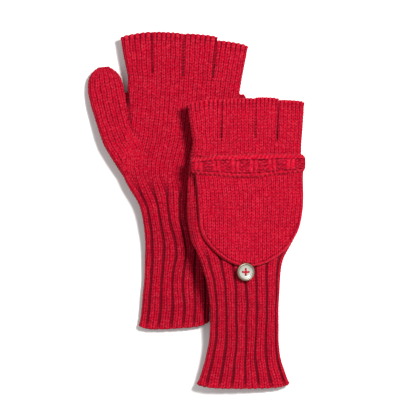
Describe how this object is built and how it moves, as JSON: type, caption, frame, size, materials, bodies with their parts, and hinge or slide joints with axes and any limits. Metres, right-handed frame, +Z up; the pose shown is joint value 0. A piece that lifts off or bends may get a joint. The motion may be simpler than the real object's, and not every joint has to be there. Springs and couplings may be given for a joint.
{
  "type": "convertible flip-top mittens",
  "caption": "Pair of ribbed-cuff knitted half-finger mittens with flip-top flaps that fold back over the hand and button at the wrist.",
  "frame": {"origin": "centre of the surface that the pair lies on, under the middle of its outline", "axes": "+X across the hands, toward the little-finger side; +Y toward the finger ends; +Z up"},
  "size_m": [0.1876, 0.3034, 0.0411],
  "materials": {
    "wool_knit": "knitted wool, matte with a light fuzz",
    "button_shell": "polished pearl dish in a satin rim",
    "sewing_thread": "twisted thread"
  },
  "bodies": {
    "left_hand": {"left_cuff": "wool_knit", "left_hand": "wool_knit", "left_thumb": "wool_knit", "left_index_finger": "wool_knit", "left_middle_finger": "wool_knit", "left_ring_finger": "wool_knit", "left_little_finger": "wool_knit", "left_hinge_seam": "wool_knit", "left_thread_shank": "sewing_thread", "left_thread_knot": "sewing_thread"},
    "left_flap": {"left_flap_back": "wool_knit", "left_button_loop": "wool_knit"},
    "left_flap_mouth": {"left_flap_front": "wool_knit", "left_flap_band": "wool_knit"},
    "left_button": {"left_button": "button_shell", "left_button_thread": "sewing_thread"},
    "right_hand": {"right_cuff": "wool_knit", "right_hand": "wool_knit", "right_thumb": "wool_knit", "right_index_finger": "wool_knit", "right_middle_finger": "wool_knit", "right_ring_finger": "wool_knit", "right_little_finger": "wool_knit", "right_hinge_seam": "wool_knit", "right_thread_shank": "sewing_thread", "right_thread_knot": "sewing_thread"},
    "right_flap": {"right_flap_back": "wool_knit", "right_button_loop": "wool_knit"},
    "right_flap_mouth": {"right_flap_front": "wool_knit", "right_flap_band": "wool_knit"},
    "right_button": {"right_button": "button_shell", "right_button_thread": "sewing_thread"}
  },
  "joints": [
    {"name": "right_mitten_lift", "type": "slide", "parent": "left_hand", "child": "right_hand", "axis": [0, 0, 1], "range_m": [0, 0.12]},
    {"name": "left_flap_fold", "type": "hinge", "parent": "left_hand", "child": "left_flap", "pos_m": [-0.01067, 0.09761, 0.00575], "axis": [0.9976, -0.0698, 0], "range_deg": [0, 180], "deforming": ["left_flap_front", "left_flap_band", "left_button_loop"]},
    {"name": "left_flap_mouth_open", "type": "slide", "parent": "left_flap", "child": "left_flap_mouth", "axis": [0, 0, -1], "range_m": [0, 0.006]},
    {"name": "left_button_twist", "type": "hinge", "parent": "left_hand", "child": "left_button", "pos_m": [-0.02233, -0.00031, 0.0039], "axis": [0, 0, 1], "range_deg": [-15, 15], "stiffness_Nm_per_rad": 0.0001},
    {"name": "right_flap_fold", "type": "hinge", "parent": "right_hand", "child": "right_flap", "pos_m": [0.04433, 0.0458, 0.02163], "axis": [-0.9613, 0, 0.2756], "range_deg": [0, 180], "deforming": ["right_flap_front", "right_flap_band", "right_button_loop"]},
    {"name": "right_flap_mouth_open", "type": "slide", "parent": "right_flap", "child": "right_flap_mouth", "axis": [0.2756, 0, 0.9613], "range_m": [0, 0.006]},
    {"name": "right_button_twist", "type": "hinge", "parent": "right_hand", "child": "right_button", "pos_m": [0.04022, -0.0527, 0.02473], "axis": [0.2756, 0, 0.9613], "range_deg": [-15, 15], "stiffness_Nm_per_rad": 0.0001}
  ],
  "couplings": [
    {"joint": "left_flap_mouth_open", "follows": "left_flap_fold", "m_per_rad": 0.0018462},
    {"joint": "right_flap_mouth_open", "follows": "right_flap_fold", "m_per_rad": 0.0018462}
  ]
}
